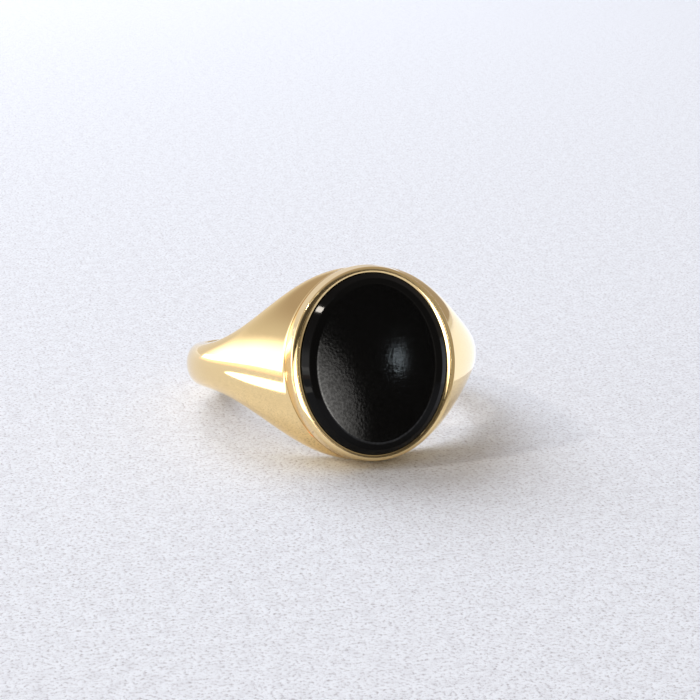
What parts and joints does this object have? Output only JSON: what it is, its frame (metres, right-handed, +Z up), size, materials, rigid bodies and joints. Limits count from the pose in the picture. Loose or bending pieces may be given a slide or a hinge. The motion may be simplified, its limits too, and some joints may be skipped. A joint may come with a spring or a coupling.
{
  "type": "signet ring",
  "caption": "Polished yellow gold signet ring with tapered shoulders and an oval black onyx tablet in a low bezel, lying on its side.",
  "frame": {"origin": "on the surface the ring lies on, under the middle of the ring's box", "axes": "+Z up from that surface; -Y is where the face looks, raised by 14.6 degrees; the finger hole runs up +Z leaning back by the same angle; +X to the right as seen from the face's side"},
  "size_m": [0.0206, 0.0234, 0.0129],
  "materials": {
    "gold": "polished",
    "solder": "polished",
    "onyx": "gloss",
    "cement": "matte"
  },
  "bodies": {
    "root": {"shank_band": "gold", "left_shoulder": "gold", "right_shoulder": "gold", "head_collet": "gold", "base_plate": "gold", "bezel_strip": "gold", "bearing_strip": "gold", "onyx_stone": "onyx", "cement_bed": "cement", "shank_solder_seams": "solder", "shoulder_solder_seams": "solder", "base_solder_seam": "solder", "bezel_solder_seam": "solder"}
  },
  "joints": []
}
